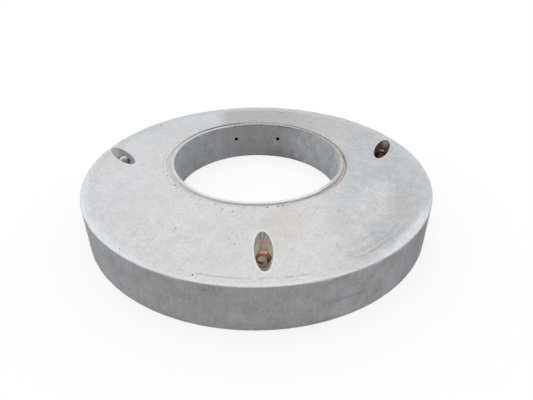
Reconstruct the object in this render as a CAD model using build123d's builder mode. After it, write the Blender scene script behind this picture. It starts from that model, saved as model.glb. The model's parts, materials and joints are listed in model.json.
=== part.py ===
import os

from build123d import *

os.makedirs("parts", exist_ok=True)

# Slab: a round disc cast in one piece
outer_d = 2040
thickness = 270
rim_chamfer = 5
foot_chamfer = 4

# Access opening, set off the slab's centre towards the step side
bore_d = 1050
bore_shift = 188
under_chamfer = 4

# Joint round the opening: a rebate cast off the opening's centre, and a lip with a rounded mouth standing in it
rebate_w = 43
rebate_left = 8
rebate_front = 28
riser_draft = 6
lip_drop = 9
lip_w = 22
lip_draft = 1
lip_chamfer = 3
mouth_radius = 10
groove_depth = 10

# Sockets for a step iron in the far wall of the opening
step_spacing = 308
step_d = 26
step_depth = 90
step_height = 148

# Lifting recesses: half of a long ellipsoid, sunk in the top and cut off by a small flat floor
recess_length = 294
recess_width = 89
recess_depth = 84
recess_level_shares = (0, 0.3, 0.55, 0.75, 0.9, 0.97)

# Where each recess lies: its middle's distance from the rim, bearing from +X and turn of its long side
front_inset = 247
front_bearing = -88.1
front_turn = 91.5
left_inset = 138
left_bearing = 166.8
left_turn = 128.6
right_inset = 152
right_bearing = 18.4
right_turn = 65.8

# Lifting loops: bent round bar standing across each recess, with both legs cast in
bar_d = 20
loop_w = 74
crown_drop = 11
leg_cover = 70

# Length by which a cut passes the surface that it starts from
overrun = 5

# Sizes worked out from the ones above
bore_r = bore_d / 2
lip_r = bore_r + lip_w
rebate_r = bore_r + rebate_w
groove_drop = lip_drop + groove_depth
bend_r = (loop_w - bar_d) / 2
bend_drop = crown_drop + loop_w / 2
leg_drop = thickness - leg_cover
step_mouth = (bore_r**2 - (step_spacing / 2) ** 2) ** 0.5


def recess_plane(inset, bearing, turn):
    """Plane in the slab's top, at the middle of a recess, with X along its long side."""
    middle = Vector(outer_d / 2 - inset, 0, thickness).rotate(Axis.Z, bearing)
    return Plane(middle, x_dir=Vector(1, 0, 0).rotate(Axis.Z, turn), z_dir=(0, 0, 1))


recesses = {
    "front": recess_plane(front_inset, front_bearing, front_turn),
    "left": recess_plane(left_inset, left_bearing, left_turn),
    "right": recess_plane(right_inset, right_bearing, right_turn),
}

# The three lifting loops, each a hairpin of round bar
loops = []
for side, recess in recesses.items():
    with BuildPart() as lifting_loop:
        with BuildLine(Plane(recess.origin, x_dir=recess.y_dir, z_dir=recess.x_dir)) as hairpin:
            Line((-bend_r, -leg_drop), (-bend_r, -bend_drop))
            ThreePointArc((-bend_r, -bend_drop), (0, bend_r - bend_drop), (bend_r, -bend_drop))
            Line((bend_r, -bend_drop), (bend_r, -leg_drop))
        with BuildSketch(Plane(hairpin.line @ 0, z_dir=hairpin.line % 0)):
            Circle(bar_d / 2)
        sweep()
    lifting_loop.part.label = "lifting_loop_" + side
    export_step(lifting_loop.part, "parts/lifting_loop_" + side + ".step")
    loops.append(lifting_loop.part)

# The slab
with BuildPart() as slab:
    # Disc with broken arrises
    with BuildSketch():
        Circle(outer_d / 2)
    extrude(amount=thickness)
    chamfer(slab.edges().group_by(Axis.Z)[-1], rim_chamfer)
    chamfer(slab.edges().group_by(Axis.Z)[0], foot_chamfer)

    # Rebate, sunk to the groove's floor about its own axis
    rebate_middle = (-rebate_left, bore_shift - rebate_front, thickness)
    with BuildSketch(Plane(rebate_middle, x_dir=(1, 0, 0), z_dir=(0, -1, 0))):
        with BuildLine():
            Polyline(
                (0, overrun),
                (0, -groove_drop),
                (rebate_r - riser_draft, -groove_drop),
                (rebate_r, 0),
                (rebate_r, overrun),
                close=True,
            )
        make_face()
    revolve(axis=Axis(rebate_middle, (0, 0, 1)), mode=Mode.SUBTRACT)

    # Access opening
    with BuildSketch(Plane((0, bore_shift, -overrun))):
        Circle(bore_r)
    extrude(amount=thickness + 2 * overrun, mode=Mode.SUBTRACT)
    chamfer(slab.edges(Select.LAST).filter_by(GeomType.CIRCLE).sort_by(Axis.Z)[0], under_chamfer)

    # Lip, left standing round the opening
    with BuildSketch(Plane((0, bore_shift, thickness), x_dir=(1, 0, 0), z_dir=(0, -1, 0))) as lip:
        with BuildLine():
            Polyline(
                (bore_r, -groove_drop - overrun),
                (bore_r, -lip_drop),
                (lip_r, -lip_drop),
                (lip_r + lip_draft, -groove_drop),
                (lip_r + lip_draft, -groove_drop - overrun),
                close=True,
            )
        make_face()
        fillet(lip.vertices().group_by(Axis.Y)[-1].sort_by(Axis.X)[0], mouth_radius)
        chamfer(lip.vertices().group_by(Axis.Y)[-1].sort_by(Axis.X)[-1], lip_chamfer)
    revolve(axis=Axis((0, bore_shift, 0), (0, 0, 1)))

    # Step sockets, level and side by side
    with BuildSketch(Plane((0, bore_shift, step_height), x_dir=(1, 0, 0), z_dir=(0, 1, 0))):
        with Locations((-step_spacing / 2, 0), (step_spacing / 2, 0)):
            Circle(step_d / 2)
    extrude(amount=step_mouth + step_depth, mode=Mode.SUBTRACT)

    # Lifting recesses, with a straight start above the top
    for recess in recesses.values():
        with BuildSketch(recess.offset(overrun)):
            Ellipse(recess_length / 2, recess_width / 2)
        for level_share in recess_level_shares:
            size_share = (1 - level_share**2) ** 0.5
            with BuildSketch(recess.offset(-recess_depth * level_share)):
                Ellipse(size_share * recess_length / 2, size_share * recess_width / 2)
        loft(mode=Mode.SUBTRACT)

    # Seats of the cast-in legs
    for loop in loops:
        add(loop, mode=Mode.SUBTRACT)
slab.part.label = "slab"
export_step(slab.part, "parts/slab.step")
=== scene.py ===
"""Looks of a concrete manhole reducing slab with three lifting loops, in metres, in its solids' frame."""

import json
import math

import bmesh
import bpy
import numpy as np
from mathutils import Matrix, Vector


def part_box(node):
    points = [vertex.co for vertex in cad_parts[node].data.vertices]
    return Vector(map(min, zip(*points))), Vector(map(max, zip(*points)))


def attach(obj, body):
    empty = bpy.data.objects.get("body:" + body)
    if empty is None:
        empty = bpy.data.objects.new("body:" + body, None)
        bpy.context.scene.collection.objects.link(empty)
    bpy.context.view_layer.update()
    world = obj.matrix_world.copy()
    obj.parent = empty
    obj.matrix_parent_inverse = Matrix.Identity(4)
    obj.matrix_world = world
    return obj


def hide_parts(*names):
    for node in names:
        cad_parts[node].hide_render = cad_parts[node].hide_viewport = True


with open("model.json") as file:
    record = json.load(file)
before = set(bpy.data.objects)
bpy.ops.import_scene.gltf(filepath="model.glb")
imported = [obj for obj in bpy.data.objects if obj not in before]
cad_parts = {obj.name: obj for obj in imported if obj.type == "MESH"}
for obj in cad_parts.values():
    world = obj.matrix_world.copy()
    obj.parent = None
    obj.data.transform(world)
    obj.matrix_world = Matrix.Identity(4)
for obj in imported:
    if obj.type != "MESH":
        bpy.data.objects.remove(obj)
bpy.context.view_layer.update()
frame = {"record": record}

# Sizes read from the frame
MOUNTS = {mount["name"]: mount for mount in frame["record"]["mounts"]}
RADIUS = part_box("slab")[1].x
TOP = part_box("slab")[1].z
BORE_R = MOUNTS["access_bore"]["dims"]["r_mm"] / 1000
BORE_X, BORE_Y = MOUNTS["access_bore"]["pos_m"][:2]
STEP_Z = MOUNTS["step_holes"]["pos_m"][2]
STEP_R = MOUNTS["step_holes"]["dims"]["hole_r_mm"] / 1000
STEP_SPACING = MOUNTS["step_holes"]["dims"]["spacing_x_mm"] / 1000
SEAT_Z = MOUNTS["shaft_seat"]["pos_m"][2]
SIDES = ("front", "left", "right")
RECESS_AT = {side: MOUNTS["loop_" + side]["pos_m"][:2] for side in SIDES}
LEG_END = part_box("lifting_loop_front")[0].z
CROWN_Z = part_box("lifting_loop_front")[1].z

# Joint round the opening, as in the solids: a rebate off the opening's centre with a lip in it
REBATE_W = 0.043
REBATE_LEFT = 0.008
REBATE_FRONT = 0.028
RISER_DRAFT = 0.006
LIP_DROP = 0.009
LIP_W = 0.022
LIP_DRAFT = 0.001
LIP_CHAMFER = 0.003
MOUTH_RADIUS = 0.010

# What the solids leave out there: a wider lip in front and at the front right, a smaller mouth at the left
LIP_WIDER = 0.003
LIP_CLEARANCE = 0.002
MOUTH_SMALLER = 0.004
GROOVE_LEAST = 0.0006

# Where the rebate's form strayed: bearing, half width in degrees and shift
RISER_STRAYS = ((-38, 42, 0.012), (35, 45, -0.007), (150, 40, -0.010), (180, 40, -0.006), (-112, 45, 0.006))

# Arrises
RIM_CHAMFER = 0.003
FOOT_CHAMFER = 0.004

# Recesses and loops, as in the solids
RECESS_TURN = {"front": 91.5, "left": 128.6, "right": 65.8}
RECESS_LENGTH = 0.294
RECESS_WIDTH = 0.089
RECESS_DEPTH = 0.084
RECESS_RIM = 0.003
FLOOR_SHARE = 0.97
BAR_R = 0.010
LOOP_W = 0.074
STEP_DEPTH = 0.090
STEP_LEAD = 0.060

# How much of its radius a bar or a socket loses to scale and grit, and the room round a cast-in leg
BAR_SCALE = 0.07
SOCKET_GRIT = 0.02
LEG_ROOM = 0.0002

# Lumps of dirt: place and half size along and across the recess, and height
LUMPS = {"front": ((-0.010, 0.009), (0.020, 0.027), 0.054)}

# Knocks along the rebate's edge: bearing about the opening, distance past the edge and radius
KNOCKS = (
    (-111.7, 0.001, 0.0085), (-109.9, 0.002, 0.0050), (-117.0, 0.001, 0.0035), (-85.0, 0.004, 0.0075),
    (-79.4, 0.006, 0.0055), (-77.0, 0.008, 0.0045), (-142.3, 0.005, 0.0060), (-154.8, 0.004, 0.0045),
    (-174.6, 0.004, 0.0045), (-121.2, 0.008, 0.0035), (-127.0, 0.010, 0.0030), (-134.2, 0.012, 0.0035),
)

# Open holes in the floated top: place and radius
OPEN_HOLES = (
    (-0.697, 0.674, 0.006), (0.396, 0.711, 0.006), (0.192, 0.903, 0.007), (0.334, 0.753, 0.005),
    (-0.186, -0.427, 0.0045), (-0.169, -0.434, 0.004), (-0.131, -0.449, 0.004),
    (-0.648, -0.750, 0.0035), (-0.286, -0.938, 0.005),
)
PIT_SINK = 0.001

# Bubbles scattered by chance: how many, and the least radius and the most that is added to it
TOP_BUBBLES = (24, 0.0018, 0.0020)
SIDE_BUBBLES = (60, 0.0016, 0.0034)
BORE_BUBBLES = (40, 0.0016, 0.0030)

# How finely the slab, the recesses and the bars are divided
TURNS = 600
RECESS_TURNS = 96
BAR_SIDES = 24
LEG_STATIONS = 22
BEND_STATIONS = 42
SOCKET_STATIONS = 16
SMOOTH_ANGLE = math.radians(34)
SEED = 7


# Repeatable noise for the shapes


def hashed(cell, seed):
    """One repeatable value from 0 to 1 for each whole-number cell."""
    x, y, z = (cell[..., axis].astype(np.uint32) for axis in range(3))
    mixed = x * np.uint32(73856093) ^ y * np.uint32(19349663) ^ z * np.uint32(83492791)
    mixed = mixed ^ np.uint32(seed * 7919 + 101)
    mixed = (mixed ^ (mixed >> np.uint32(13))) * np.uint32(1274126177)
    mixed = (mixed ^ (mixed >> np.uint32(16))) * np.uint32(2246822519)
    return ((mixed ^ (mixed >> np.uint32(15))) & np.uint32(0xFFFFFF)) / float(0xFFFFFF)


def noise(points, size, seed):
    """Smooth noise from 0 to 1 with bumps about `size` metres across."""
    scaled = points / size
    base = np.floor(scaled).astype(np.int64)
    part = scaled - base
    part = part * part * (3 - 2 * part)
    total = np.zeros(points.shape[:-1])
    for corner in np.ndindex(2, 2, 2):
        weight = np.prod(np.where(np.array(corner) == 1, part, 1 - part), axis=-1)
        total += weight * hashed(base + np.array(corner), SEED + seed)
    return total


def ease(value, low, high):
    """0 below `low`, 1 above `high`, with a smooth way between."""
    share = np.clip((value - low) / (high - low), 0, 1)
    return share * share * (3 - 2 * share)


def layers(points, sheets):
    """Noise of several sizes added up: height, size and seed of each."""
    return sum(height * noise(points, size, seed) for height, size, seed in sheets)


# Meshes


def mesh_piece(name, points, faces, materials, material_index=None):
    """A mesh object from arrays of points and faces, with a material number for each face if given."""
    mesh = bpy.data.meshes.new(name)
    mesh.from_pydata(np.asarray(points).tolist(), [], [tuple(face) for face in faces])
    for material in materials:
        mesh.materials.append(material)
    if material_index is not None:
        mesh.polygons.foreach_set("material_index", np.asarray(material_index, np.int32))
    mesh.update()
    piece = bpy.data.objects.new(name, mesh)
    bpy.context.scene.collection.objects.link(piece)
    return piece


def smooth(piece):
    """Smooth shading, with the sharper edges kept crisp."""
    piece.data.shade_smooth()
    piece.data.set_sharp_from_angle(angle=SMOOTH_ANGLE)


def ring_faces(rings, turns, closed):
    """Quads from each ring of points to the next one, facing out of a skin that runs inwards below."""
    here = np.arange(turns)
    there = (here + 1) % turns
    row = np.arange(rings if closed else rings - 1)[:, None]
    after = (row + 1) % rings
    corners = (row * turns + here, after * turns + here, after * turns + there, row * turns + there)
    return np.stack(corners, axis=-1).reshape(-1, 4)


def cut(target, cutter):
    """Takes the cutter's shape out of the target, with the cutter's material on the new faces."""
    modifier = target.modifiers.new("cut", "BOOLEAN")
    modifier.operation = "DIFFERENCE"
    modifier.solver = "EXACT"
    modifier.material_mode = "TRANSFER"
    modifier.object = cutter
    evaluated = target.evaluated_get(bpy.context.evaluated_depsgraph_get())
    result = bpy.data.meshes.new_from_object(evaluated)
    target.modifiers.clear()
    target.data = result
    bpy.data.objects.remove(cutter)


# Slab: the skin as rings round the opening and round the slab


ANGLE = np.arange(TURNS) * 2 * math.pi / TURNS
ROUND = np.stack([np.cos(ANGLE), np.sin(ANGLE), np.zeros(TURNS)], axis=1)
ZONES = ("under", "bore", "joint", "riser", "top", "side")


def bore_ring(radius, height):
    """A ring about the opening's axis."""
    ring = ROUND * np.reshape(radius, (-1, 1)) + (BORE_X, BORE_Y, 0)
    ring[:, 2] = height
    return ring


def slab_ring(radius, height):
    """A ring about the slab's axis."""
    ring = ROUND * radius
    ring[:, 2] = height
    return ring


def spread(count, crowding):
    """Shares from 0 to 1, nearer together at both ends."""
    even = np.linspace(0, 1, count)
    return even * (1 - crowding) + (1 - np.cos(math.pi * even)) / 2 * crowding


def rebate_reach(radius, angle):
    """Distance from the opening's axis, by bearing, to a circle about the rebate's axis."""
    along = -REBATE_LEFT * np.cos(angle) - REBATE_FRONT * np.sin(angle)
    aside = REBATE_LEFT * np.sin(angle) - REBATE_FRONT * np.cos(angle)
    return along + np.sqrt(radius**2 - aside**2)


def riser_reach(angle, depth):
    """Distance from the opening's axis, by bearing, to the rebate's side at a depth below the top."""
    reach = rebate_reach(BORE_R + REBATE_W - RISER_DRAFT * depth / (TOP - SEAT_Z), angle)
    for bearing, half, shift in RISER_STRAYS:
        away = np.abs((np.degrees(angle) - bearing + 180) % 360 - 180)
        reach = reach + shift * ease(-away, -half, 0)
    return reach


def slab_skin():
    """All rings in order: inwards below, up the opening, out over the top and down the side."""
    rings = []

    def add(zone, ring):
        rings.append((ZONES.index(zone), ring))

    foot = slab_ring(RADIUS - FOOT_CHAMFER, 0)
    brink = bore_ring(BORE_R + FOOT_CHAMFER, 0)
    for share in spread(7, 0)[:-1]:
        add("under", foot * (1 - share) + brink * share)
    add("bore", brink)

    # The rebate runs out over the lip at the back, so the lip is narrower there and its groove shallower
    lip_z = TOP - LIP_DROP
    wide = LIP_W + LIP_WIDER * ease(-np.sin(ANGLE), 0.0, 0.5)
    wide = wide + LIP_WIDER * ease(np.cos(ANGLE + 0.6), 0.6, 0.95)
    lip_r = np.minimum(BORE_R + wide, riser_reach(ANGLE, LIP_DROP) - LIP_CLEARANCE)
    mouth = MOUTH_RADIUS - MOUTH_SMALLER * ease(-np.cos(ANGLE), 0.3, 0.9)
    mouth = np.minimum(mouth, 0.75 * (lip_r - BORE_R))
    room = ease(riser_reach(ANGLE, TOP - SEAT_Z) - BORE_R - LIP_W, -0.004, 0.008)
    chamfer = LIP_CHAMFER * np.maximum(room, 0.1)
    floor_z = lip_z - GROOVE_LEAST - (lip_z - SEAT_Z - GROOVE_LEAST) * room

    for share in spread(20, 0.6)[:-1]:
        add("bore", bore_ring(BORE_R, FOOT_CHAMFER + (lip_z - mouth - FOOT_CHAMFER) * share))
    for turn in np.linspace(0, math.pi / 2, 7):
        add("joint", bore_ring(BORE_R + mouth * (1 - math.cos(turn)), lip_z - mouth * (1 - math.sin(turn))))
    add("joint", bore_ring(lip_r - chamfer, lip_z))
    add("joint", bore_ring(lip_r, lip_z - chamfer))
    groove_r = riser_reach(ANGLE, TOP - floor_z)
    for share in spread(6, 0):
        zone = "joint" if share < 0.7 else "riser"
        add(zone, bore_ring((lip_r + LIP_DRAFT * room) * (1 - share) + groove_r * share, floor_z))
    for share in spread(5, 0)[1:-1]:
        depth = (TOP - floor_z) * (1 - share)
        add("riser", bore_ring(riser_reach(ANGLE, depth), TOP - depth))

    edge = bore_ring(riser_reach(ANGLE, 0), TOP)
    rim = slab_ring(RADIUS - RIM_CHAMFER, TOP)
    for share in spread(50, 0.6):
        add("top", edge * (1 - share) + rim * share)
    for share in spread(4, 0)[1:-1]:
        add("top", slab_ring(RADIUS - RIM_CHAMFER * (1 - share), TOP - RIM_CHAMFER * share))
    for share in spread(24, 0.6):
        height = (TOP - RIM_CHAMFER) * (1 - share) + FOOT_CHAMFER * share
        add("side", slab_ring(RADIUS, height))
    return rings


def weathered(points):
    """Casting marks and wear: all of it goes into the concrete, so the slab keeps its outside size."""
    x, y, z = points.T
    radius = np.hypot(x, y)
    bore_radius = np.hypot(x - BORE_X, y - BORE_Y)
    out = np.stack([x, y, 0 * z], axis=1) / np.maximum(radius, 1e-6)[:, None]
    bore_out = np.stack([x - BORE_X, y - BORE_Y, 0 * z], axis=1) / np.maximum(bore_radius, 1e-6)[:, None]

    # Chipped arris round the top
    chip = 0.0008 * noise(points, 0.022, 1) + 0.0030 * ease(noise(points, 0.045, 2), 0.64, 0.9)
    chip += 0.012 * ease(noise(points, 0.080, 3), 0.74, 0.92) * noise(points, 0.015, 4)
    short = np.maximum(RIM_CHAMFER + chip - (RADIUS - radius) - (TOP - z), 0) / 2

    # Floated top and form-cast side, neither quite true
    lower = layers(points, ((0.0016, 0.240, 5), (0.0009, 0.070, 6), (0.0004, 0.025, 7)))
    lower *= ease(z, TOP - 0.030, TOP - 0.002)
    sink = 0.0010 * noise(points * (1, 1, 0.3), 0.160, 8) + 0.0006 * noise(points * (1, 1, 0.4), 0.045, 9)
    sink *= ease(radius, RADIUS - 0.025, RADIUS - 0.004)

    # Rough mouth and lip of the opening, and a wall with the marks of its core
    near_mouth = ease(z, TOP - 0.045, TOP - 0.022) * ease(-bore_radius, -BORE_R - 0.060, -BORE_R - 0.015)
    rough = 0.0016 * noise(points, 0.016, 10) + 0.0030 * ease(noise(points, 0.035, 11), 0.6, 0.9)
    core_marks = 0.0012 * noise(points * (1, 1, 0.25), 0.060, 12)
    wall = core_marks * ease(-bore_radius, -BORE_R - 0.020, -BORE_R - 0.002)
    wall *= ease(z, 0.0, 0.010)

    # Broken edge of the rebate
    nick = 0.0015 + 0.0050 * ease(noise(points, 0.028, 13), 0.55, 0.9)
    past = bore_radius - riser_reach(np.arctan2(y - BORE_Y, x - BORE_X), 0)
    broken = np.maximum(nick - past - (TOP - z), 0) / 2 * ease(past, -0.006, -0.003)

    outward = wall + 0.5 * rough * near_mouth + broken
    moved = points - out * (short + sink)[:, None] + bore_out * outward[:, None]
    moved[:, 2] -= short + lower + 0.5 * rough * near_mouth + broken
    moved[z <= 0] = points[z <= 0]
    return moved


def make_slab(materials):
    """The slab's skin, one closed mesh, before anything is cut out of it."""
    rings = slab_skin()
    points = np.concatenate([ring for _, ring in rings])
    zones = np.repeat([zone for zone, _ in rings], TURNS)
    faces = ring_faces(len(rings), TURNS, closed=True)
    return mesh_piece("slab_concrete", weathered(points), faces, materials, zones)


# Recesses, sockets and pits, as shapes that are taken out of the slab


def recess_frame(side):
    """Matrix from a recess's own axes, with X along it and Z up from the slab's top, to the slab's."""
    x, y = RECESS_AT[side]
    return Matrix.Translation((x, y, TOP)) @ Matrix.Rotation(math.radians(RECESS_TURN[side]), 4, "Z")


def placed(points, matrix):
    """Points moved by a matrix."""
    turned = np.array(matrix.to_3x3())
    return np.asarray(points) @ turned.T + np.array(matrix.translation)


def recess_cutter(side, material):
    """Half of a long ellipsoid with a broken rim and a small gritty floor, and its lump of dirt."""
    turns = RECESS_TURNS
    angle = np.arange(turns) * 2 * math.pi / turns
    outline = np.stack([np.cos(angle), np.sin(angle)], axis=1)
    half = np.array([RECESS_LENGTH / 2, RECESS_WIDTH / 2])
    rings = [(half + RECESS_RIM, 0.020), (half + RECESS_RIM, 0.0), (half, -RECESS_RIM)]
    for turn in np.linspace(math.asin(RECESS_RIM / RECESS_DEPTH), math.asin(FLOOR_SHARE), 20)[1:]:
        rings.append((half * math.cos(turn), -RECESS_DEPTH * math.sin(turn)))
    last = rings[-1][0]
    for share in (0.7, 0.4, 0.12):
        rings.append((last * share, -RECESS_DEPTH * FLOOR_SHARE))
    points = np.concatenate([np.column_stack([outline * size, np.full(turns, z)]) for size, z in rings])
    in_slab = placed(points, recess_frame(side))
    swell = 1 + 0.010 * (noise(in_slab, 0.030, 20) - 0.5) + 0.014 * (noise(in_slab, 0.012, 21) - 0.5)
    points[:, :2] *= swell[:, None]
    grit = noise(in_slab, 0.018, 22) * 0.6 + noise(in_slab, 0.007, 23) * 0.4
    points[:, 2] += 0.006 * grit * ease(-points[:, 2], RECESS_DEPTH * 0.55, RECESS_DEPTH * 0.95)
    if side in LUMPS:
        middle, size, height = LUMPS[side]
        away = ((points[:, :2] - middle) / size) ** 2
        lump_z = -RECESS_DEPTH + height * np.exp(-away.sum(axis=1) ** 2) * (0.9 + 0.2 * grit)
        points[:, 2] = np.maximum(points[:, 2], lump_z)
    faces = [tuple(face) for face in ring_faces(len(rings), turns, closed=False)]
    faces.append(tuple(range(turns)))
    faces.append(tuple(reversed(range((len(rings) - 1) * turns, len(rings) * turns))))
    return mesh_piece("recess_" + side, placed(points, recess_frame(side)), faces, [material])


def rod(name, radius, stations, across, beside, material, skin):
    """A round bar along stations, as rings in the plane of `across` and `beside`, closed at both ends."""
    sides = BAR_SIDES
    turn = np.arange(sides) * 2 * math.pi / sides
    rings = []
    for centre, normal, side in zip(stations, across, beside):
        ring = centre + radius * (np.cos(turn)[:, None] * normal + np.sin(turn)[:, None] * side)
        grown = noise(ring, 0.009, 30) * 0.7 + noise(ring, 0.004, 31) * 0.3
        rings.append(centre + (ring - centre) * (1 - skin * grown)[:, None])
    faces = [tuple(reversed(face)) for face in ring_faces(len(rings), sides, closed=False)]
    faces.append(tuple(reversed(range(sides))))
    faces.append(tuple(range((len(rings) - 1) * sides, len(rings) * sides)))
    return mesh_piece(name, np.concatenate(rings), faces, [material])


def make_loop(name, side, material, radius, skin):
    """A hairpin of round bar across a recess, with both legs going down into the concrete."""
    bend_r = LOOP_W / 2 - BAR_R
    bend_z = CROWN_Z - TOP - LOOP_W / 2
    legs = np.linspace(LEG_END - TOP, bend_z, LEG_STATIONS)[:-1]
    turns = np.linspace(math.pi, 0, BEND_STATIONS)
    path = [(-bend_r, z, math.pi) for z in legs]
    path += [(bend_r * math.cos(turn), bend_z + bend_r * math.sin(turn), turn) for turn in turns]
    path += [(bend_r, z, 0.0) for z in reversed(legs)]
    matrix = recess_frame(side)
    along, across, up = np.array(matrix.to_3x3()).T
    origin = np.array(matrix.translation)
    stations = [origin + across * v + up * z for v, z, _ in path]
    normals = [across * math.cos(turn) + up * math.sin(turn) for _, _, turn in path]
    return rod(name, radius, stations, normals, [along] * len(path), material, skin)


def step_sockets(material):
    """Two level round holes in the far wall of the opening."""
    depth = math.sqrt(BORE_R**2 - (STEP_SPACING / 2) ** 2)
    pieces = []
    for x in (-STEP_SPACING / 2, STEP_SPACING / 2):
        reach = np.linspace(depth - STEP_LEAD, depth + STEP_DEPTH, SOCKET_STATIONS)
        stations = [np.array([BORE_X + x, BORE_Y + y, STEP_Z]) for y in reach]
        normals = [np.array([0.0, 0.0, 1.0])] * len(stations)
        beside = [np.array([1.0, 0.0, 0.0])] * len(stations)
        pieces.append(rod("step_socket", STEP_R, stations, normals, beside, material, SOCKET_GRIT))
    return pieces


def pit_places(rng):
    """Where the air bubbles and knocks are: centre and radius of each."""
    pits = []

    def bubble(x, y, z, radius):
        if all(math.dist((x, y, z), pit[:3]) > 2.5 * (radius + pit[3]) for pit in pits):
            pits.append((x, y, z, radius))

    for bearing, past, size in KNOCKS:
        angle = math.radians(bearing)
        reach = float(riser_reach(angle, 0)) + past
        bubble(BORE_X + reach * math.cos(angle), BORE_Y + reach * math.sin(angle), TOP - PIT_SINK, size)
    for x, y, size in OPEN_HOLES:
        bubble(x, y, TOP - PIT_SINK, size)

    # Small ones in the floated top, clear of the opening
    count, least, more = TOP_BUBBLES
    for _ in range(count):
        angle, reach = rng.uniform(-math.pi, math.pi), rng.uniform(0.62, 1.0)
        x, y = reach * math.cos(angle), reach * math.sin(angle)
        if math.hypot(x - BORE_X, y - BORE_Y) > BORE_R + 0.10:
            bubble(x, y, TOP - PIT_SINK, least + more * rng.random() ** 2)

    # Small ones in the form-cast side and in the opening's wall
    walls = ((SIDE_BUBBLES, 0, 0, RADIUS, TOP - 0.02), (BORE_BUBBLES, BORE_X, BORE_Y, BORE_R, TOP - 0.04))
    for (count, least, more), middle_x, middle_y, reach, highest in walls:
        for _ in range(count):
            angle = rng.uniform(-math.pi, math.pi)
            x, y = middle_x + reach * math.cos(angle), middle_y + reach * math.sin(angle)
            bubble(x, y, rng.uniform(0.02, highest), least + more * rng.random() ** 3)
    return pits


def pit_cutter(material):
    """All pits as one mesh of small balls that don't touch."""
    shape = bmesh.new()
    for x, y, z, radius in pit_places(np.random.default_rng(SEED)):
        place = Matrix.Translation((x, y, z))
        bmesh.ops.create_icosphere(shape, subdivisions=2, radius=radius, matrix=place)
    mesh = bpy.data.meshes.new("pits")
    shape.to_mesh(mesh)
    shape.free()
    mesh.materials.append(material)
    piece = bpy.data.objects.new("pits", mesh)
    bpy.context.scene.collection.objects.link(piece)
    return piece


# Finishes


def srgb(red, green, blue):
    """A colour given as picture levels from 0 to 255, in the linear values that shaders take."""
    def linear(level):
        share = level / 255
        return share / 12.92 if share <= 0.04045 else ((share + 0.055) / 1.055) ** 2.4
    return linear(red), linear(green), linear(blue), 1.0


class Nodes:
    """The node tree of a material or a world, emptied, with short calls for making nodes."""

    def __init__(self, owner):
        owner.use_nodes = True
        self.tree = owner.node_tree
        self.tree.nodes.clear()

    def node(self, kind, inputs=None, **settings):
        """A new node with its settings, and its inputs linked or set to fixed values."""
        made = self.tree.nodes.new(kind)
        for name, value in settings.items():
            setattr(made, name, value)
        for key, value in (inputs or {}).items():
            if isinstance(value, bpy.types.NodeSocket):
                self.tree.links.new(value, made.inputs[key])
            else:
                made.inputs[key].default_value = value
        return made

    def math(self, operation, *values):
        return self.node("ShaderNodeMath", dict(enumerate(values)), operation=operation).outputs[0]

    def lit_and_seen(self, lit, seen):
        """One shader for the light on the object, and one for what the camera and reflections see."""
        rays = self.node("ShaderNodeLightPath").outputs
        share = rays["Is Camera Ray"]
        for name in ("Is Glossy Ray", "Is Transmission Ray"):
            share = self.math("MAXIMUM", share, rays[name])
        return self.node("ShaderNodeMixShader", {0: share, 1: lit, 2: seen}).outputs[0]


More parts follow.
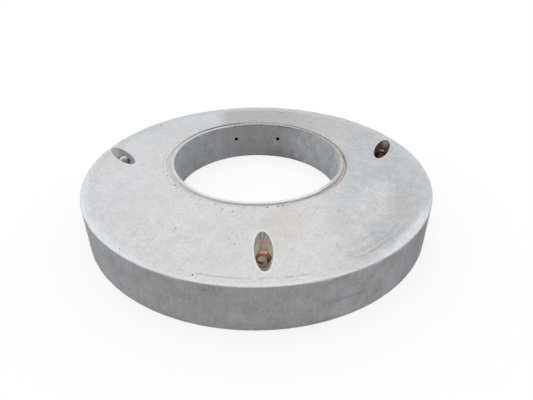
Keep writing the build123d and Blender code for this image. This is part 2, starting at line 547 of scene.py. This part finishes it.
class Finish(Nodes):
    """One node material, with its colour so far and short calls for what the finishes share."""

    def __init__(self, name, colour, specular=0.25):
        self.material = bpy.data.materials.new(name)
        self.colour = colour
        self.specular = specular
        super().__init__(self.material)
        self.place = self.node("ShaderNodeTexCoord").outputs["Object"]

    def mix(self, first, second, share, blend="MIX"):
        """The first colour turned into the second one by a share from 0 to 1."""
        inputs = {0: share, 6: first, 7: second}
        return self.node("ShaderNodeMix", inputs, data_type="RGBA", blend_type=blend).outputs[2]

    def tint(self, tone, *shares):
        """Turns the colour into a tone by the product of the shares."""
        self.colour = self.mix(self.colour, tone, self.times(*shares))

    def step(self, value, low, high, start=0.0, end=1.0):
        """A smooth way from `start` to `end` while the value goes from `low` to `high`."""
        inputs = dict(enumerate((value, low, high, start, end)))
        return self.node("ShaderNodeMapRange", inputs, interpolation_type="SMOOTHSTEP").outputs[0]

    def band(self, value, middle, half, soft):
        """1 within `half` of a middle value, with soft ends."""
        away = self.math("ABSOLUTE", self.math("SUBTRACT", value, middle))
        return self.step(away, half, half + soft, 1.0, 0.0)

    def times(self, *shares):
        product = shares[0]
        for share in shares[1:]:
            product = self.math("MULTIPLY", product, share)
        return product

    def strayed(self, value, size, reach, detail=3.0):
        """A value moved to and fro by noise, by up to about half the reach."""
        stray = self.math("SUBTRACT", self.cloud(size, detail), 0.5)
        return self.math("ADD", value, self.times(stray, reach))

    def at(self, location=(0, 0, 0), turn=0.0, scale=(1, 1, 1), kind="POINT"):
        """The object's coordinates, scaled, or seen from another place and turn."""
        inputs = {"Vector": self.place, "Location": location, "Rotation": (0, 0, turn), "Scale": scale}
        return self.node("ShaderNodeMapping", inputs, vector_type=kind).outputs[0]

    def axes(self, source=None):
        return self.node("ShaderNodeSeparateXYZ", {0: source or self.place}).outputs

    def cloud(self, size, detail=3.0, roughness=0.55, source=None):
        """Noise from 0 to 1 with patches about `size` metres across."""
        inputs = {"Vector": source or self.place, "Scale": 1 / size, "Detail": detail, "Roughness": roughness}
        return self.node("ShaderNodeTexNoise", inputs).outputs[0]

    def patches(self, size, low, high, detail=3.0, roughness=0.55, source=None):
        """Patches about `size` metres across: 0 where the noise is `low` and 1 where it is `high`."""
        return self.step(self.cloud(size, detail, roughness, source), low, high)

    def roughness(self, low, high, size=0.03):
        """A roughness that wanders between two values."""
        return self.step(self.cloud(size), 0.3, 0.7, low, high)

    def cells(self, size):
        """Distance to the nearest of scattered points, in cells about `size` metres across."""
        return self.node("ShaderNodeTexVoronoi", {"Vector": self.place, "Scale": 1 / size}).outputs[0]

    def uneven(self, patches, source=None, share=1.0):
        """Makes the colour darker and lighter by turns, by the size and strength of each set of patches."""
        factor = 1.0
        for size, strength in patches:
            value = self.cloud(size, 4.0, 0.6, source)
            factor = self.math("ADD", factor, self.step(value, 0.36, 0.64, -strength / 2, strength / 2))
        self.colour = self.mix(self.colour, factor, share, "MULTIPLY")

    def oval(self, middle, turn, half, ragged, size, full, none):
        """An upright oval with a ragged edge: 1 up to `full`, 0 past `none`, as squares of its radius."""
        local = self.at((*middle, 0), math.radians(turn), (*half, 1), kind="TEXTURE")
        across, along, _ = self.axes(local)
        reach = self.math("ADD", self.times(across, across), self.times(along, along))
        return self.step(self.strayed(reach, size, ragged, 4.0), full, none, 1.0, 0.0)

    def scuff(self, start, end, half):
        """A thin broken mark on the top from one place to another."""
        way = Vector(end) - Vector(start)
        middle = (Vector(start) + Vector(end)) / 2
        turn = math.atan2(way.y, way.x)
        local = self.at((*middle, 0), turn, (way.length / 2, half, 1), kind="TEXTURE")
        along, across, _ = self.axes(local)
        line = self.band(self.strayed(across, 0.03, 3.0), 0.0, 0.3, 0.7)
        broken = self.patches(0.018, 0.36, 0.56)
        return self.times(line, self.band(along, 0.0, 0.75, 0.25), broken)

    def finish(self, roughness, height, distance, strength=0.5):
        """Links the colour, roughness and bump, and gives the material."""
        bump = {"Strength": strength, "Distance": distance, "Height": height}
        surface = {
            "Base Color": self.colour,
            "Roughness": roughness,
            "Specular IOR Level": self.specular,
            "Normal": self.node("ShaderNodeBump", bump).outputs[0],
        }
        shader = self.node("ShaderNodeBsdfPrincipled", surface).outputs[0]
        self.node("ShaderNodeOutputMaterial", {"Surface": shader})
        return self.material


PALE = srgb(214, 213, 213)
WHITE = srgb(238, 238, 236)
GREY = srgb(172, 173, 174)
DARK = srgb(98, 96, 94)
TAN = srgb(182, 168, 146)
BROWN = srgb(112, 92, 72)

# Concrete's cloudiness, by size and strength, and its specks, by size, tone and share
CLOUDS = ((0.30, 0.04), (0.090, 0.03), (0.032, 0.05), (0.011, 0.11))
SPECKS = ((0.021, DARK, 0.40), (0.033, WHITE, 0.50))

# Tones of the rebate's side from left to right, each with the stretch of X over which it comes in; the
# darkest grey is painted shade for the dark line behind the opening, the last, browner one is dirt
RISER_TONES = (
    (srgb(180, 180, 179), -0.54, -0.46),
    (srgb(144, 143, 141), -0.42, -0.33),
    (srgb(200, 199, 197), -0.17, -0.05),
    (srgb(184, 180, 174), 0.15, 0.30),
)

# Pale patches low on the front of the side: middle and half width in X, and share
SIDE_PATCHES = ((-0.105, 0.030, 0.34), (-0.015, 0.035, 0.24), (0.115, 0.045, 0.20), (0.345, 0.06, 0.20))

# Worn streaks that run with the rim at the front right: distance in from it, and share
WORN_STREAKS = ((0.078, 0.30), (0.108, 0.22), (0.160, 0.16))

# Tones of each recess; flanks by tone, stretch across and lowest level; drips by place, slope and reach
RECESS_LOOKS = {
    "front": {
        "wall": srgb(198, 186, 163), "brow": srgb(172, 171, 168), "floor": srgb(154, 140, 132),
        "far_end": srgb(197, 199, 198), "far_from": 0.106,
        "flanks": (
            (srgb(222, 214, 196), 0.012, 0.030, -0.085),
            (srgb(214, 208, 194), -0.018, -0.034, -0.085),
        ),
        "drips": ((0.009, 0.0, 0.124), (-0.014, -0.545, 0.106)),
    },
    "left": {
        "wall": srgb(178, 176, 174), "brow": srgb(184, 183, 184), "floor": srgb(138, 134, 129),
        "far_end": srgb(218, 224, 228), "far_from": 0.090,
    },
    "right": {
        "wall": srgb(88, 77, 67), "brow": srgb(96, 88, 78), "floor": srgb(94, 72, 58),
        "far_end": srgb(182, 182, 168), "far_from": 0.110,
        "flanks": ((srgb(136, 130, 104), -0.020, -0.038, -0.060),),
    },
}

# Tones of each loop, the crown's tone a painted highlight on rubbed steel; flecks by tone, size, threshold
# and share; the dull leg by tone and stretch of X
LOOP_LOOKS = {
    "front": {
        "base": srgb(208, 118, 52), "patch": srgb(172, 98, 54), "deep": srgb(84, 62, 54),
        "crown": srgb(206, 188, 172), "crown_share": 0.60, "crown_depth": 0.0075, "gloss": (0.85, 0.55),
        # The front loop's pale flecks are painted highlights
        "flecks": ((srgb(206, 196, 190), 0.013, 0.56, 0.7), (srgb(122, 104, 104), 0.016, 0.54, 0.7)),
        "dull": (srgb(118, 100, 90), 0.014, 0.000),
    },
    # The pale loop's near-white blue tones are painted sky reflection on old zinc
    "left": {
        "base": srgb(236, 247, 254), "patch": srgb(216, 230, 240), "deep": srgb(120, 128, 136),
        "crown": srgb(242, 250, 255), "crown_share": 0.90, "crown_depth": 0.0110, "gloss": (0.40, 0.28),
        "flecks": ((srgb(92, 102, 112), 0.010, 0.57, 0.75),),
        "dull": (srgb(52, 54, 58), -0.842, -0.832),
    },
    "right": {
        "base": srgb(66, 50, 44), "patch": srgb(78, 52, 44), "deep": srgb(38, 30, 28),
        "crown": srgb(186, 176, 178), "crown_share": 0.90, "crown_depth": 0.0050, "gloss": (0.80, 0.40),
        "flecks": (),
        "dull": (srgb(44, 34, 31), 0.800, 0.792),
    },
}

# Tan scuffs on the top, each from one place to another
SCUFFS = (
    ((-0.608, -0.675), (-0.593, -0.580)),
    ((-0.787, -0.454), (-0.788, -0.282)),
    ((-0.537, -0.683), (-0.508, -0.666)),
    ((0.281, -0.498), (0.332, -0.388)),
    ((0.303, -0.696), (0.373, -0.578)),
    ((0.119, -0.858), (0.180, -0.735)),
    ((-0.147, -0.698), (-0.118, -0.612)),
    ((0.208, -0.520), (0.260, -0.416)),
    ((0.364, -0.754), (0.416, -0.650)),
    ((-0.546, -0.780), (-0.494, -0.650)),
    ((-0.143, -0.780), (-0.120, -0.690)),
    ((-0.620, 0.420), (-0.560, 0.560)),
)


def away(look, x, y, middle_x, middle_y):
    """Distance from an upright axis."""
    across = look.math("SUBTRACT", x, middle_x)
    along = look.math("SUBTRACT", y, middle_y)
    square = look.math("ADD", look.times(across, across), look.times(along, along))
    return look.math("SQRT", square)


def mottled(look):
    """Adds concrete's own cloudiness, with dark specks and pale sand."""
    look.uneven(CLOUDS)
    for size, tone, share in SPECKS:
        speck = look.step(look.cells(size), 0.08, 0.15, 1.0, 0.0)
        some = look.patches(2.7 * size, 0.48, 0.62, 2.0)
        look.tint(tone, speck, some, share)


def grain(look):
    """Height of the concrete's surface for bump: sand and open pores."""
    pores = look.step(look.cells(0.017), 0.05, 0.16)
    sand = look.cloud(0.005, 4.0, 0.7)
    return look.math("ADD", look.times(pores, 0.6), sand)


def top_finish():
    """Floated top: pale in front, cooler to the left, greyer to the right and behind the opening."""
    look = Finish("concrete_top", PALE)
    x, y, _ = look.axes()
    from_axis = away(look, x, y, 0, 0)
    stray_x = look.strayed(x, 0.40, 0.35)
    right = look.step(stray_x, 0.26, 0.66)
    look.tint(srgb(193, 194, 196), right)
    left = look.step(stray_x, -0.30, -0.85)
    look.tint(srgb(211, 212, 215), left, 0.85)
    back = look.step(look.strayed(y, 0.25, 0.15), 0.30, 0.60)
    look.tint(srgb(203, 207, 210), back, look.step(x, -0.10, -0.30), 0.85)
    edge_x = look.strayed(x, 0.06, 0.06)
    behind = look.times(back, look.step(edge_x, -0.32, -0.20), look.step(stray_x, 0.72, 0.25))
    look.tint(srgb(181, 181, 181), behind)

    # Long cool streaks to the right, a greyer and a cleaner patch there, and a duller swath in front
    drawn = look.at(scale=(1.0, 0.3, 1.0))
    cool = look.patches(0.085, 0.40, 0.66, source=drawn)
    look.tint(srgb(186, 193, 202), right, cool, look.step(y, -0.62, -0.30, 0.10, 0.42))
    patch = look.oval((0.75, -0.45), 60, (0.32, 0.11), ragged=2.0, size=0.14, full=0.0, none=1.3)
    look.tint(srgb(185, 184, 183), patch, 0.36)
    clean = look.oval((0.62, -0.37), 60, (0.30, 0.11), ragged=1.5, size=0.10, full=0.1, none=1.3)
    look.tint(srgb(216, 216, 216), clean, 0.50)
    look.uneven(((0.15, 0.05), (0.045, 0.04), (0.012, 0.10)), share=right)
    swath = look.oval((0.13, -0.56), -12, (0.13, 0.22), ragged=1.0, size=0.12, full=0.2, none=1.3)
    look.tint(srgb(194, 192, 188), swath, 0.30)

    # Smoother cool band inside the rim, palest at the front's two ends
    from_rim = look.strayed(from_axis, 0.09, 0.045)
    band = look.times(look.step(from_rim, RADIUS - 0.085, RADIUS - 0.040), look.step(y, -0.60, 0.30))
    look.tint(srgb(199, 202, 205), band, 0.80)
    left_end = look.times(look.step(x, -0.40, -0.65), look.step(y, 0.30, -0.20))
    right_end = look.times(look.step(x, 0.40, 0.65), look.step(y, -0.35, -0.55))
    ends = look.math("ADD", left_end, right_end)
    by_rim = look.step(look.strayed(from_axis, 0.08, 0.060), RADIUS - 0.058, RADIUS - 0.024)
    look.tint(srgb(220, 224, 229), ends, by_rim, 0.80)
    mottled(look)

    # Tan stains and scuffs, and a dark dash and a spill by the left recess
    stain = look.patches(0.16, 0.54, 0.70, 4.0, 0.6)
    look.tint(TAN, stain, look.patches(0.02, 0.4, 0.7), 0.22)
    for start, end in SCUFFS:
        look.tint(TAN, look.scuff(start, end, 0.0040), 0.46)
    dash = look.scuff((-0.893, 0.309), (-0.871, 0.344), 0.0090)
    look.tint(DARK, dash, 0.70)
    spill = look.oval((-0.842, 0.097), 60, (0.030, 0.010), ragged=0.8, size=0.02, full=0.2, none=1.0)
    look.tint(TAN, spill, 0.40)

    # Broken marks that run with the rim at the front
    broken = look.patches(0.030, 0.42, 0.56)
    ring = look.band(look.strayed(from_axis, 0.09, 0.014), RADIUS - 0.054, 0.0015, 0.006)
    look.tint(BROWN, ring, look.step(y, -0.86, -0.95), broken, 0.34)
    worn = look.times(look.step(y, -0.52, -0.64), look.step(x, 0.36, 0.50))
    for inset, share in WORN_STREAKS:
        streak = look.band(look.strayed(from_axis, 0.12, 0.050), RADIUS - inset, 0.003, 0.010)
        look.tint(srgb(146, 146, 146), streak, worn, share)

    # Faint scribed ring outside the rebate, from the left to the front, where it is broken into dashes
    from_scribe = look.strayed(away(look, x, y, -0.015, BORE_Y - 0.036), 0.05, 0.004)
    scribed = look.times(look.band(from_scribe, 0.570, 0.001, 0.004), look.step(x, -0.24, -0.36))
    dashes = look.patches(0.012, 0.50, 0.58, 2.0)
    near = look.step(y, -0.10, -0.25)
    look.tint(DARK, scribed, near, dashes, 0.55)
    look.tint(DARK, scribed, look.math("SUBTRACT", 1.0, near), 0.22)
    pale = look.times(look.band(from_scribe, 0.561, 0.002, 0.004), look.step(x, -0.40, -0.52))
    look.tint(WHITE, pale, 0.30)

    # Worn edges of the rim, the rebate and the recesses, and soil round the rebate; the pale band along the
    # rim is a worn arris and also a painted highlight where it catches the sky
    ragged = look.strayed(from_axis, 0.02, 0.012)
    # Pale band along the rim: worn arris, and a painted highlight where the edge catches the sky
    worn_and_highlit_rim = look.step(ragged, RADIUS - 0.024, RADIUS - 0.010)
    to_front = look.step(y, 0.2, -0.5, 0.16, 0.42)
    look.tint(WHITE, worn_and_highlit_rim, to_front, look.step(x, 0.30, 0.50, 1.0, 0.5))
    knocked = look.patches(0.016, 0.60, 0.68)
    knocked = look.times(knocked, look.step(ragged, RADIUS - 0.026, RADIUS - 0.008))
    look.tint(DARK, knocked, 0.22)
    rebate_r = BORE_R + REBATE_W
    from_rebate = away(look, x, y, -REBATE_LEFT, BORE_Y - REBATE_FRONT)
    from_rebate = look.strayed(from_rebate, 0.03, 0.012)
    soiled = look.step(from_rebate, rebate_r + 0.030, rebate_r + 0.004)
    soiled = look.times(soiled, look.step(x, -0.35, 0.05), look.step(y, 0.50, 0.20))
    look.tint(GREY, soiled, 0.36)
    rebate_edge = look.band(from_rebate, rebate_r + 0.008, 0.003, 0.008)
    look.tint(WHITE, rebate_edge, broken, look.step(y, 0.1, -0.2), 0.50)
    half = (RECESS_LENGTH / 2 + RECESS_RIM, RECESS_WIDTH / 2 + RECESS_RIM)
    for side in SIDES:
        place = (RECESS_AT[side], RECESS_TURN[side], half)
        mouth = look.oval(*place, ragged=0.2, size=0.02, full=1.08, none=1.28)
        look.tint(WHITE, mouth, 0.40 if side == "front" else 0.15)
    return look.finish(look.roughness(0.82, 0.95), grain(look), 0.0012)


def joint_finish():
    """Lip and rebate round the opening: a pale rubbed lip, and a dirty groove, browner to the right, with
    painted shade in its corner at the front.
    """
    look = Finish("concrete_joint", srgb(207, 208, 209))
    x, y, z = look.axes()
    from_bore = away(look, x, y, BORE_X, BORE_Y)
    look.tint(srgb(214, 214, 214), look.step(x, -0.48, -0.20))
    look.tint(srgb(194, 193, 191), look.step(x, 0.15, 0.50))
    behind = look.times(look.step(y, 0.30, 0.70), look.step(x, -0.3, -0.1))
    look.tint(srgb(194, 194, 193), behind)
    mottled(look)
    dirty = look.patches(0.05, 0.32, 0.62, 4.0)
    groove = look.step(from_bore, BORE_R + LIP_W, BORE_R + LIP_W + 0.006)
    brown = look.times(groove, dirty, look.step(x, -0.25, 0.45, 0.10, 0.65))
    look.tint(srgb(176, 171, 164), brown)
    # Painted shade in the groove's corner by the lip at the front, less of it to the left
    front = look.step(y, -0.02, -0.28)
    inside = look.step(from_bore, BORE_R + 0.066, BORE_R + 0.026)
    painted_groove_shade = look.times(inside, front, look.step(z, TOP - 0.0130, TOP - 0.0165))
    look.tint(srgb(150, 148, 146), painted_groove_shade, look.step(x, -0.40, -0.05, 0.22, 0.42))
    rounded = look.step(z, TOP - 0.024, TOP - 0.017)
    rounded = look.times(rounded, look.step(from_bore, BORE_R + 0.014, BORE_R + 0.010))
    lip = look.times(look.step(z, TOP - 0.0145, TOP - 0.0125), look.step(y, 0.0, -0.30))
    lip = look.math("MAXIMUM", look.times(rounded, look.step(y, 0.05, 0.40, 1.0, 0.30)), lip)
    not_right = look.step(x, 0.52, 0.28, 0.0, 0.65)
    less_left = look.step(x, -0.48, -0.20, 0.30, 1.0)
    look.tint(WHITE, lip, not_right, less_left)
    soil = look.times(look.step(from_bore, BORE_R + 0.004, BORE_R + 0.010), look.step(x, 0.36, 0.50))
    soil = look.times(soil, look.step(y, 0.12, 0.22))
    look.tint(srgb(182, 175, 166), soil, 0.85)
    fleck = look.patches(0.014, 0.52, 0.64)
    under_mouth = look.band(z, TOP - LIP_DROP - MOUTH_RADIUS, 0.003, 0.004)
    under_mouth = look.times(under_mouth, look.step(from_bore, BORE_R + 0.009, BORE_R + 0.006))
    look.tint(DARK, under_mouth, fleck, 0.45)
    return look.finish(look.roughness(0.80, 0.95), grain(look), 0.0012)


def riser_finish():
    """The rebate's side: painted shade for its dark line behind the opening, brown dirt to the right, and
    near white to the left as painted light against its own shade.
    """
    # Near white at the left end: painted light against the side's own shade there
    look = Finish("concrete_riser", srgb(225, 226, 226))
    x, y, _ = look.axes()
    for tone, low, high in RISER_TONES:
        look.tint(tone, look.step(x, low, high))
    brown = look.patches(0.05, 0.30, 0.60, 4.0)
    brown = look.mix(srgb(158, 145, 130), srgb(182, 174, 164), brown)
    look.tint(brown, look.step(x, 0.36, 0.50))
    look.tint(srgb(210, 209, 207), look.step(y, -0.15, -0.35))
    mottled(look)
    return look.finish(0.9, grain(look), 0.0012)


def formed(look):
    """Adds the marks of a form: mottled, with fine upright streaks and a few bubbles."""
    mottled(look)
    look.uneven(((0.050, 0.04), (0.010, 0.09)), look.at(scale=(1, 1, 0.15)))
    spots = look.step(look.cells(0.030), 0.05, 0.10, 1.0, 0.0)
    spots = look.times(spots, look.patches(0.09, 0.52, 0.64, 2.0))
    look.tint(DARK, spots, 0.35)


def side_finish():
    """The outer side: cooler to the left, darker to the right, with pale patches and a short pour line."""
    look = Finish("concrete_side", srgb(216, 215, 217))
    x, y, z = look.axes()
    front = look.step(y, -0.4, -0.6)
    look.tint(srgb(216, 219, 222), look.step(x, -0.35, -0.62), 0.8)
    look.tint(srgb(224, 225, 228), look.step(x, 0.05, 0.30), front)
    look.tint(srgb(200, 202, 208), look.step(x, 0.60, 0.88), front)
    blotch = look.patches(0.10, 0.46, 0.62, 4.0, 0.62)
    look.tint(srgb(199, 198, 200), blotch, 0.55)
    formed(look)
    for middle, half, share in SIDE_PATCHES:
        pale = look.times(look.band(look.strayed(x, 0.03, 0.04), middle, half, 0.012), front)
        pale = look.times(pale, look.band(look.strayed(z, 0.03, 0.03), 0.082, 0.024, 0.012))
        look.tint(WHITE, pale, share)
    level = look.strayed(z, 0.14, 0.030)
    where = look.times(look.step(x, 0.26, 0.36), look.step(x, 0.60, 0.46), front)
    look.tint(DARK, look.band(level, 0.121, 0.001, 0.012), where, 0.20)
    foot = look.step(look.strayed(z, 0.05, 0.05), 0.040, 0.004)
    look.tint(srgb(126, 112, 104), foot, look.patches(0.04, 0.40, 0.62), 0.28)
    return look.finish(look.roughness(0.74, 0.92), grain(look), 0.0010)


def bore_finish():
    """The opening's wall: cool, lighter to the right and greyer at the far side as painted light and shade,
    with olive stains and a broken top edge.
    """
    look = Finish("concrete_bore", srgb(206, 209, 214))
    x, y, z = look.axes()
    # Painted light on the right part, which faces the brighter side of the sky, and painted shade on the far
    # part, which faces the dimmer front
    look.tint(srgb(220, 225, 230), look.step(x, 0.0, 0.46))
    far = look.band(look.strayed(x, 0.15, 0.12), 0.02, 0.12, 0.22)
    look.tint(srgb(194, 193, 194), far, look.step(y, 0.45, 0.65))
    upper = look.times(look.step(z, 0.16, 0.24), look.step(y, 0.50, 0.66))
    look.tint(srgb(170, 170, 172), upper, 0.40)
    blotch = look.patches(0.08, 0.46, 0.62, 4.0, 0.62)
    look.tint(srgb(189, 189, 192), blotch, 0.50)
    formed(look)
    olive = look.band(look.strayed(x, 0.06, 0.16), 0.20, 0.07, 0.12)
    low_down = look.step(look.strayed(z, 0.05, 0.10), 0.125, 0.040)
    olive = look.times(olive, look.step(y, 0.3, 0.5), low_down)
    look.tint(srgb(140, 128, 108), olive, look.patches(0.05, 0.25, 0.72), 0.46)
    foot = look.step(look.strayed(z, 0.03, 0.02), 0.016, 0.002)
    look.tint(srgb(104, 90, 74), foot, look.step(x, -0.15, 0.05), 0.6)
    brow = look.step(look.strayed(z, 0.03, 0.020), TOP - 0.032, TOP - 0.020)
    brow = look.times(brow, look.step(y, 0.45, 0.6), look.patches(0.05, 0.48, 0.58))
    look.tint(DARK, brow, 0.5)
    return look.finish(look.roughness(0.74, 0.92), grain(look), 0.0010)


def plain_finish(name, colour):
    """Concrete, or the painted shade inside the holes, with no marks of its own."""
    look = Finish(name, colour)
    formed(look)
    return look.finish(0.9, grain(look), 0.0010)


def recess_finish(side, wall, brow, floor, far_end, far_from, flanks=(), drips=()):
    """A recess's inside: form-cast wall, a floor darker towards the bottom and a paler far end, with its
    drips and dirt.
    """
    look = Finish("recess_" + side, wall)
    x, y = RECESS_AT[side]
    local = look.at((x, y, TOP), math.radians(RECESS_TURN[side]), kind="TEXTURE")
    along, across, up = look.axes(local)
    look.uneven(((0.030, 0.22), (0.008, 0.16)))
    height = look.strayed(up, 0.03, 0.02)
    for tone, start, end, deep in flanks:
        flank = look.times(look.step(across, start, end), look.step(height, deep, deep + 0.038))
        look.tint(tone, flank, 0.8)
    look.tint(brow, look.step(height, -0.050, -0.012), 0.8)
    low = look.step(look.math("ADD", up, look.times(look.cloud(0.02), 0.030)), -0.030, -0.064)
    look.tint(floor, low, 0.9)
    far = look.step(look.strayed(along, 0.03, 0.02), far_from, RECESS_LENGTH / 2)
    look.tint(far_end, far, 0.85)
    for offset, slope, reach in drips:
        run = look.times(look.math("SUBTRACT", along, RECESS_LENGTH / 2), slope)
        line = look.band(look.math("SUBTRACT", across, run), offset, 0.0008, 0.0030)
        look.tint(srgb(84, 80, 74), line, look.step(along, reach, reach + 0.01), 0.7)
    if side in LUMPS:
        (lump_along, lump_across), (half_along, half_across), _ = LUMPS[side]
        u = look.math("DIVIDE", look.math("SUBTRACT", along, lump_along), half_along)
        v = look.math("DIVIDE", look.math("SUBTRACT", across, lump_across), half_across)
        reach = look.strayed(look.math("ADD", look.times(u, u), look.times(v, v)), 0.01, 0.5)
        clod = look.times(look.step(reach, 1.25, 0.95), look.step(up, -0.080, -0.070))
        look.tint(srgb(196, 178, 150), clod, 0.9)
        under = look.band(reach, 0.80, 0.08, 0.16)
        under = look.times(under, look.step(u, 0.1, -0.4), look.step(v, -0.7, -0.2))
        look.tint(srgb(60, 50, 44), under, 0.8)
    look.tint(WHITE, look.step(up, -0.0045, -0.0015), 0.85)
    return look.finish(look.roughness(0.72, 0.92, 0.02), grain(look), 0.0010)


def loop_finish(side, base, patch, deep, crown, crown_share, crown_depth, gloss, flecks, dull):
    """A steel bar: rust or old zinc in patches, the zinc with painted sky reflection; painted shade low down,
    darker on one leg, and a rubbed crown with a painted highlight.
    """
    look = Finish("loop_" + side, base, specular=0.4)
    x, _, z = look.axes()
    scale = look.patches(0.012, 0.38, 0.62, 4.0, 0.65)
    look.tint(patch, scale)
    flake = look.patches(0.007, 0.54, 0.64, 3.0, 0.7)
    look.tint(deep, flake, 0.50)
    # The crown's pale tone: rubbed steel and a painted highlight
    rubbed_and_highlit = look.step(look.strayed(z, 0.010, 0.010), CROWN_Z - crown_depth, CROWN_Z - 0.0010)
    look.tint(crown, rubbed_and_highlit, crown_share)
    for tone, size, low, share in flecks:
        fleck = look.patches(size, low, low + 0.05)
        look.tint(tone, fleck, share)
    # Painted shade: darker low down on the legs, where they go down into the recess
    low = look.step(z, CROWN_Z - 0.022, CROWN_Z - 0.048)
    look.tint(deep, low, 0.80)
    tone, clean_x, dull_x = dull
    look.tint(tone, look.step(x, clean_x, dull_x), 0.80)
    height = look.math("ADD", look.cloud(0.004, 4.0, 0.7), look.times(scale, 0.7))
    return look.finish(look.step(rubbed_and_highlit, 0, 1, *gloss), height, 0.0008, 0.6)


# Object


zone_finishes = [
    plain_finish("concrete_under", srgb(204, 204, 202)),
    bore_finish(),
    joint_finish(),
    riser_finish(),
    top_finish(),
    side_finish(),
]
recess_finishes = {side: recess_finish(side, **RECESS_LOOKS[side]) for side in SIDES}
loop_finishes = {side: loop_finish(side, **LOOP_LOOKS[side]) for side in SIDES}
# The dark insides of the step sockets and the pits are painted shade in the holes
socket_finish = plain_finish("socket_painted_shade", srgb(40, 37, 34))
pit_finish = plain_finish("concrete_pit", srgb(118, 114, 108))

slab = make_slab(zone_finishes)
for side in SIDES:
    cut(slab, recess_cutter(side, recess_finishes[side]))
for socket in step_sockets(socket_finish):
    cut(slab, socket)
cut(slab, pit_cutter(pit_finish))
for side in SIDES:
    cut(slab, make_loop("seat_" + side, side, recess_finishes[side], BAR_R + LEG_ROOM, 0.0))
smooth(slab)
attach(slab, "root")
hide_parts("slab")

for side in SIDES:
    loop = make_loop("loop_bar_" + side, side, loop_finishes[side], BAR_R, BAR_SCALE)
    smooth(loop)
    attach(loop, "root")
    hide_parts("lifting_loop_" + side)


# Stage, light and camera


def make_floor():
    """A pale floor that looks near white, keeps a soft shadow and throws little light back."""
    size = 30.0
    bounce = 0.10
    shadow_share = 0.22
    corners = [(-size, -size, 0), (size, -size, 0), (size, size, 0), (-size, size, 0)]
    material = bpy.data.materials.new("floor_pale")
    nodes = Nodes(material)
    grey = nodes.node("ShaderNodeBsdfDiffuse", {"Color": (bounce, bounce, bounce, 1)}).outputs[0]
    white = nodes.node("ShaderNodeBsdfDiffuse", {"Color": (1, 1, 1, 1)}).outputs[0]
    glow = nodes.node("ShaderNodeEmission").outputs[0]
    seen = nodes.node("ShaderNodeMixShader", {0: shadow_share, 1: glow, 2: white}).outputs[0]
    nodes.node("ShaderNodeOutputMaterial", {"Surface": nodes.lit_and_seen(grey, seen)})
    floor = mesh_piece("floor", np.array(corners), [(0, 1, 2, 3)], [material])


def make_sky():
    """An overcast sky, three times as bright overhead as at the horizon and stronger from back left."""
    zenith = 9 / 7
    brighter_side = (-0.14, 0.30, 0.0)
    world = bpy.data.worlds.new("overcast")
    bpy.context.scene.world = world
    nodes = Nodes(world)
    white = (1, 1, 1, 1)
    direction = nodes.node("ShaderNodeTexCoord").outputs["Generated"]
    towards = nodes.node("ShaderNodeVectorMath", {0: direction, 1: brighter_side}, operation="DOT_PRODUCT")
    upward = nodes.node("ShaderNodeSeparateXYZ", {0: direction}).outputs[2]
    levels = {0: upward, 1: 0.0, 2: 1.0, 3: zenith / 3, 4: zenith}
    level = nodes.node("ShaderNodeMapRange", levels).outputs[0]
    strength = nodes.math("MULTIPLY_ADD", towards.outputs["Value"], level, level)
    sky = nodes.node("ShaderNodeBackground", {"Color": white, "Strength": strength}).outputs[0]
    backdrop = nodes.node("ShaderNodeBackground", {"Color": white}).outputs[0]
    nodes.node("ShaderNodeOutputWorld", {"Surface": nodes.lit_and_seen(sky, backdrop)})


def make_camera():
    """The photograph's camera, fitted to the slab's edges: in front, turned a little off the centre."""
    photo_width = 533
    focal_pixels = 463.36
    stand_off = 2.898 * RADIUS
    elevation, yaw, pitch, roll = 0.5854, 0.0193, 0.0142, -0.0091

    def turned(first, second, angle):
        cos, sin = math.cos(angle), math.sin(angle)
        return first * cos + second * sin, second * cos - first * sin

    position = Vector((0, -math.cos(elevation), math.sin(elevation))) * stand_off
    forward = -position.normalized()
    right = Vector((1, 0, 0))
    up = right.cross(forward)
    forward, right = turned(forward, right, yaw)
    forward, up = turned(forward, up, pitch)
    right, up = turned(right, up, roll)
    data = bpy.data.cameras.new("camera")
    data.sensor_fit = "HORIZONTAL"
    data.sensor_width = 36.0
    data.lens = data.sensor_width * focal_pixels / photo_width
    camera = bpy.data.objects.new("camera", data)
    facing = Matrix((right, up, -forward)).transposed().to_4x4()
    camera.matrix_world = Matrix.Translation(position) @ facing
    bpy.context.scene.collection.objects.link(camera)
    bpy.context.scene.camera = camera


make_floor()
make_sky()
make_camera()
bpy.context.scene.view_settings.view_transform = "Standard"
